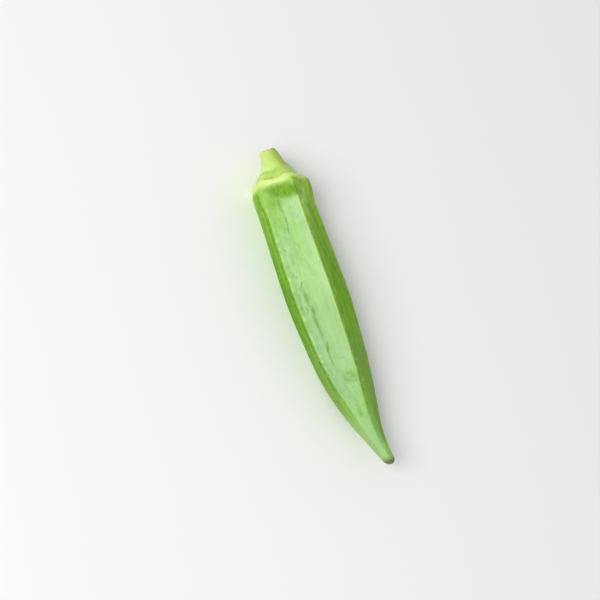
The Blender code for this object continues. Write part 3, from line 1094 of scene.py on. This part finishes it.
stray = grow(
    "FunctionNodeRandomValue",
    {"data_type": "FLOAT_VECTOR"},
    {"Min": (-HAIR_STRAY,) * 3, "Max": (HAIR_STRAY,) * 3, "Seed": given["Seed"]},
)
forward = grow("ShaderNodeCombineXYZ", {}, {"X": given["Lean"]})
leaning = roots["Normal"]
for push in (forward[0], stray[0]):
    leaning = grow("ShaderNodeVectorMath", {"operation": "ADD"}, {0: leaning, 1: push})[0]
turned = grow("FunctionNodeAlignRotationToVector", {"axis": "Z"}, {"Vector": leaning})
sizes = grow(
    "FunctionNodeRandomValue",
    {"data_type": "FLOAT"},
    {2: HAIR_SIZES[0], 3: HAIR_SIZES[1], "Seed": given["Seed"]},
)
hair = grow(
    "GeometryNodeMeshCone",
    {"fill_type": "NGON"},
    {
        "Vertices": HAIR_SIDES,
        "Radius Top": 0.0,
        "Radius Bottom": given["Hair radius"],
        "Depth": given["Hair length"],
    },
)
grown_hairs = grow(
    "GeometryNodeInstanceOnPoints",
    {},
    {"Points": roots["Points"], "Instance": hair["Mesh"], "Rotation": turned[0], "Scale": sizes[1]},
)
plain_hairs = grow("GeometryNodeRealizeInstances", {}, {0: grown_hairs[0]})
coated = grow("GeometryNodeSetMaterial", {}, {0: plain_hairs[0], "Material": down.material})
grow("NodeGroupOutput", {}, {0: coated[0]})

soil = add_object("down_source", pod_skin.data)
grower = soil.modifiers.new("down", "NODES")
grower.node_group = growth.tree
for item in interface.items_tree:
    if item.in_out == "INPUT" and item.name in HAIR_INPUTS:
        grower[item.identifier] = HAIR_INPUTS[item.name][1]
shown = bpy.context.evaluated_depsgraph_get()
hair_mesh = bpy.data.meshes.new_from_object(soil.evaluated_get(shown))
bpy.data.objects.remove(soil)
hair_mesh.name = "fine_hairs"
fine_hairs = add_object("fine_hairs", hair_mesh)

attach(fine_hairs, "root")

# --------------------------------------------------
# The stem: the cut stalk that the pod hung on, widening into the cone-shaped
# cap that sits in the collar. Paler and yellower than the pod; its cut end
# shows a ring of fibres round a spongy pith, and a brown scar rings its foot.
# --------------------------------------------------

STEM_OUTLINE = (
    (0.12, 2.66), (1.6, 2.93), (3.2, 3.35), (4.7, 3.85), (6.3, 5.0), (7.7, 6.25),
    (8.7, 6.85), (9.3, 6.95), (9.9, 6.9), (10.4, 6.85), (10.7, 6.1),
)
CUT_ROWS = (
    (0.08, 0.6), (0.06, 1.2), (0.05, 1.5), (0.0, 1.7), (-0.02, 2.05), (0.0, 2.4), (0.02, 2.55),
)
CAP_FLOOR = 10.9
CAP_WAVE = 0.22
CAP_WAVE_SPAN = (3.0, 8.5)
CAP_SAG_SPAN = (6.3, 9.2)
CAP_EDGE = 7.1
CAP_EDGE_ROUGH = 0.3
CAP_EDGE_FADE = (-0.25, 0.25)
CAP_STEP = 0.12
CAP_STEP_SPAN = (4.5, 6.8)
VEIN_WIDTH = 0.45
VEIN_HEIGHT = 0.06
VEIN_STARTS = (2.5, 6)
STEM_ROUGH = 0.05
STEM_ROUGH_WAVES = 2.2
STEM_ROUGH_LENGTH = 2.5
CUT_UNEVEN = 0.2
CUT_UNEVEN_WAVES = 2.6
CUT_UNEVEN_EDGE = (1.5, 2.4)
CUT_UNEVEN_ENDS = (0.1, 1.1)
OFF_CUT = 9.0
# The stem's side turned away from the key light, where painted shade and painted light are laid on
SIDE_TURN = 30
# Brown scars at the cap's foot: angle, width in degrees, where it starts and strength
SCARS = ((131, 6, (8.3, 8.9), 1.0), (146, 14, (8.7, 9.2), 0.4))
STEM_RINGS = 90

stem_rings = []
stem_marks = {"along": [], "cut": [], "vein": [], "cap": [], "side": [], "scar": []}


def add_stem_ring(distance, radius, on_cut):
    """Keep one ring of the stem and its marks: of the cut face, or of its side."""
    angle, plain_radius, from_ridge = section(distance, radius, 1.0, 0.0)
    spots = around(angle, STEM_ROUGH_WAVES)
    rough = ripples([(*spot, distance / STEM_ROUGH_LENGTH) for spot in spots], 6)
    from_edge = distance - (CAP_EDGE + CAP_EDGE_ROUGH * rough)
    on_cap = ramp(*CAP_EDGE_FADE, from_edge)
    vein = hump(from_ridge, VEIN_WIDTH) * ramp(*VEIN_STARTS, distance)
    raised = CAP_STEP * (on_cap - ramp(*CAP_STEP_SPAN, distance))
    raised = raised + VEIN_HEIGHT * vein + STEM_ROUGH * rough
    ringed = plain_radius - CAP_WAVE * ramp(*CAP_WAVE_SPAN, distance) * mid_face
    ringed = ringed + raised * (not on_cut)
    uneven = ripples([(*spot, 0) for spot in around(angle, CUT_UNEVEN_WAVES)], 15)
    uneven = uneven * ramp(*CUT_UNEVEN_EDGE, radius) * (1 - ramp(*CUT_UNEVEN_ENDS, distance))
    place = distance + ramp(*CAP_SAG_SPAN, distance) * rim_shift + CUT_UNEVEN * uneven
    stem_rings.append(points_at(place, angle, ringed))
    turn = np.degrees(angle)
    scar = sum(
        strength * hump(turn - middle, width) * ramp(*starts, distance)
        for middle, width, starts, strength in SCARS
    )
    found = {
        "along": nothing + distance,
        "cut": nothing + (radius if on_cut else OFF_CUT),
        "vein": vein,
        "cap": on_cap,
        "side": 0.5 + 0.5 * np.cos(angle - math.radians(SIDE_TURN)),
        "scar": scar,
    }
    for mark, values in found.items():
        stem_marks[mark].append(values)


for distance, radius in CUT_ROWS:
    add_stem_ring(distance, radius, True)
for distance in np.linspace(STEM_OUTLINE[0][0], STEM_OUTLINE[-1][0], STEM_RINGS):
    add_stem_ring(distance, curve_at(STEM_OUTLINE, distance), False)

cut_centre = points_at(CUT_ROWS[0][0], zero, zero)[0]
cap_centre = points_at(CAP_FLOOR, zero, zero)[0]
stem_skin = closed_skin("stem_skin", stem_rings, cut_centre, cap_centre)
keep_marks(stem_skin, stem_marks)

STEM_PALE = (200, 222, 132)
STEM_GREEN = (188, 214, 92)
STEM_SHADE_OLIVE = (166, 196, 54)
STEM_FLARE_LIT = (210, 246, 134)
CAP_GREEN = (176, 218, 106)
CAP_EDGE_GREEN = (152, 198, 80)
CAP_PALE_LIT = (206, 226, 136)
CAP_VEIN = (196, 226, 118)
PITH_WHITE = (226, 230, 204)
FIBRE_GREEN = (190, 212, 116)
CUT_BROWN = (150, 142, 84)
FLECK_OLIVE = (128, 150, 60)

SCAR_RAGGED = 0.9
FRAY_RAGGED = 0.5
RING_SCAR = 0.35
SPOT_SCAR = 0.6
SPOT_SCAR_PATCHY = 0.8

STEM_ROUGHNESS = 0.5
CUT_ROUGHER = 0.3
SCAR_ROUGHER = 0.2
STEM_GLOSS = 0.3
STEM_RELIEF_DEPTH = 0.1
STEM_RELIEF_STRENGTH = 0.5

stalk = Paint("okra_stem")
on_stem, on_cut, on_vein, on_cap, to_right, scarred = (stalk.mark(name) for name in stem_marks)
stalk_streaks = stalk.cloud((9, 0.9, 0.9), detail=3)
stalk_patches = stalk.cloud((1.6, 1.2, 1.2), detail=3)
stalk_clouds = stalk.cloud((5, 3, 3), detail=2)
# painted light: the flare paler only on the side towards the key light
flare = stalk.band(on_stem, 3.0, 6.0) * (1 - stalk.band(to_right, 0.5, 0.9))
cap_layers = (
    (stalk.band(stalk_clouds, 0.4, 0.62), 0.6, CAP_EDGE_GREEN),
    # painted light: the cap paler on its side turned from the key light
    (stalk.band(to_right, 0.55, 0.95), 0.6, CAP_PALE_LIT),
)
ring_scar = stalk.band(on_stem + stalk_patches * SCAR_RAGGED, 9.2, 9.6)
ring_scar = ring_scar * stalk.band(stalk_patches, 0.52, 0.62)
spot_scar = SPOT_SCAR + SPOT_SCAR_PATCHY * stalk.band(stalk_patches, 0.4, 0.6)
scar = ring_scar * RING_SCAR + scarred * spot_scar
cut_face = 1 - stalk.band(on_cut, 2.6, 2.75)
cut_layers = (
    (1 - stalk.band(on_cut, 1.3, 1.7), 1.0, PITH_WHITE),
    (stalk.band(stalk_patches, 0.55, 0.7), 0.5, CUT_BROWN),
)
frayed = 1 - stalk.band(on_stem + stalk_patches * FRAY_RAGGED, 0.25, 0.55)

# From the deepest layer to the topmost
stem_layers = (
    (stalk.band(stalk_streaks, 0.35, 0.7), 0.6, STEM_GREEN),
    # painted shade: the stem darker and more olive on its side away from the key light
    (stalk.band(to_right, 0.3, 0.95), 0.9, STEM_SHADE_OLIVE),
    (flare, 0.7, STEM_FLARE_LIT),
    (on_cap, 1.0, stalk.layers(CAP_GREEN, cap_layers)),
    (on_vein, 0.35, CAP_VEIN),
    (stalk.band(on_stem, 7.7, 8.6), 0.45, CAP_VEIN),
    (scar, 0.6, SCAR_BROWN),
    (stalk.dots((2.2, 1.1, 1.1), (0.08, 0.16)), 0.4, FLECK_OLIVE),
    (cut_face, 1.0, stalk.layers(FIBRE_GREEN, cut_layers)),
    (frayed, 0.5, CUT_BROWN),
)
stem_relief = stalk_streaks * 0.3 + stalk_patches * 0.2
stem_sockets = {
    "Base Color": stalk.layers(STEM_PALE, stem_layers),
    "Roughness": STEM_ROUGHNESS + cut_face * CUT_ROUGHER + scar * SCAR_ROUGHER,
    "Specular IOR Level": 0.12,
    "Coat Weight": STEM_GLOSS - cut_face * STEM_GLOSS,
    "Coat Roughness": 0.4,
    "Normal": stalk.bump(stem_relief, STEM_RELIEF_DEPTH, STEM_RELIEF_STRENGTH),
}
stalk.finish(stem_skin, stem_sockets)

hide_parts("stem")
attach(stem_skin, "root")

# --------------------------------------------------
# The surface it lies on, the soft studio light over it, and the camera, which
# looks down on the pod from beside it, with the stem at the top of the view.
# --------------------------------------------------

FLOOR_HALF = 3.0
FLOOR_WHITE = (250.46, 250.46, 249.89)
FLOOR_GREY = (248.15, 248.15, 247.57)

floor_mesh = bpy.data.meshes.new("floor")
corners = [(x * FLOOR_HALF, y * FLOOR_HALF, 0) for x, y in ((-1, -1), (1, -1), (1, 1), (-1, 1))]
floor_mesh.from_pydata(corners, [], [(0, 1, 2, 3)])
floor = add_object("floor", floor_mesh)
paper = Paint("pale_surface")
paper_grain = paper.cloud((40, 40, 40), detail=2)
paper_sockets = {
    "Base Color": paper.blend(paper_grain * 0.3, FLOOR_WHITE, FLOOR_GREY),
    "Roughness": 0.9,
    "Normal": paper.bump(paper_grain, 0.02, 0.1),
}
paper.finish(floor, paper_sockets)

VIEW_TURN = 121.0
VIEW_TILT = 8.0
VIEW_DISTANCE = 0.7
VIEW_ROLL = 20.69
VIEW_SCALE = 3186.0
FRAME_SIDE = 600
AIM_RIGHT = -28.93
AIM_DOWN = -6.17
SENSOR_WIDTH = 36.0


def beside(turn, tilt):
    """Unit vector away from the pod: turn is round it from +Y, tilt is towards its tip."""
    turn, tilt = math.radians(turn), math.radians(tilt)
    outwards = Vector((0, math.cos(turn), math.sin(turn)))
    return outwards * math.cos(tilt) + Vector((math.sin(tilt), 0, 0))


back = beside(VIEW_TURN, VIEW_TILT)
pod_down = (Vector((1, 0, 0)) - back * back.x).normalized()
pod_right = back.cross(pod_down).normalized()
roll = math.radians(VIEW_ROLL)
image_right = pod_down * math.sin(roll) + pod_right * math.cos(roll)
image_down = pod_down * math.cos(roll) - pod_right * math.sin(roll)
cut_end = Vector(points_at(0.0, zero, zero)[0])
middle = (cut_end + Vector(tip_point)) / 2
aim = middle + (image_right * AIM_RIGHT + image_down * AIM_DOWN) / VIEW_SCALE
camera_data = bpy.data.cameras.new("camera")
camera_data.sensor_width = SENSOR_WIDTH
camera_data.lens = VIEW_SCALE * VIEW_DISTANCE * SENSOR_WIDTH / FRAME_SIDE
camera_data.clip_start = 0.01
camera = add_object("camera", camera_data)
turning = Matrix((image_right, -image_down, back)).transposed().to_4x4()
camera.matrix_world = Matrix.Translation(aim + back * VIEW_DISTANCE) @ turning
scene.camera = camera

SOFTBOX_TURN = 139.0
SOFTBOX_TILT = -3.0
SOFTBOX_DISTANCE = 1.1
SOFTBOX_SIDE = 0.6
SOFTBOX_POWER = 7.5
ROOM_LIGHT = 0.54

softbox = bpy.data.lights.new("key", "AREA")
softbox.shape = "SQUARE"
softbox.size = SOFTBOX_SIDE
softbox.energy = SOFTBOX_POWER
lamp = add_object("key", softbox)
away = beside(SOFTBOX_TURN, SOFTBOX_TILT)
lamp.location = middle + away * SOFTBOX_DISTANCE
lamp.rotation_mode = "QUATERNION"
lamp.rotation_quaternion = away.to_track_quat("Z", "Y")

world = bpy.data.worlds.new("studio")
world.use_nodes = True
room = world.node_tree.nodes["Background"].inputs
room["Color"].default_value = (1.0, 1.0, 1.0, 1.0)
room["Strength"].default_value = ROOM_LIGHT
scene.world = world
scene.view_settings.view_transform = "Standard"
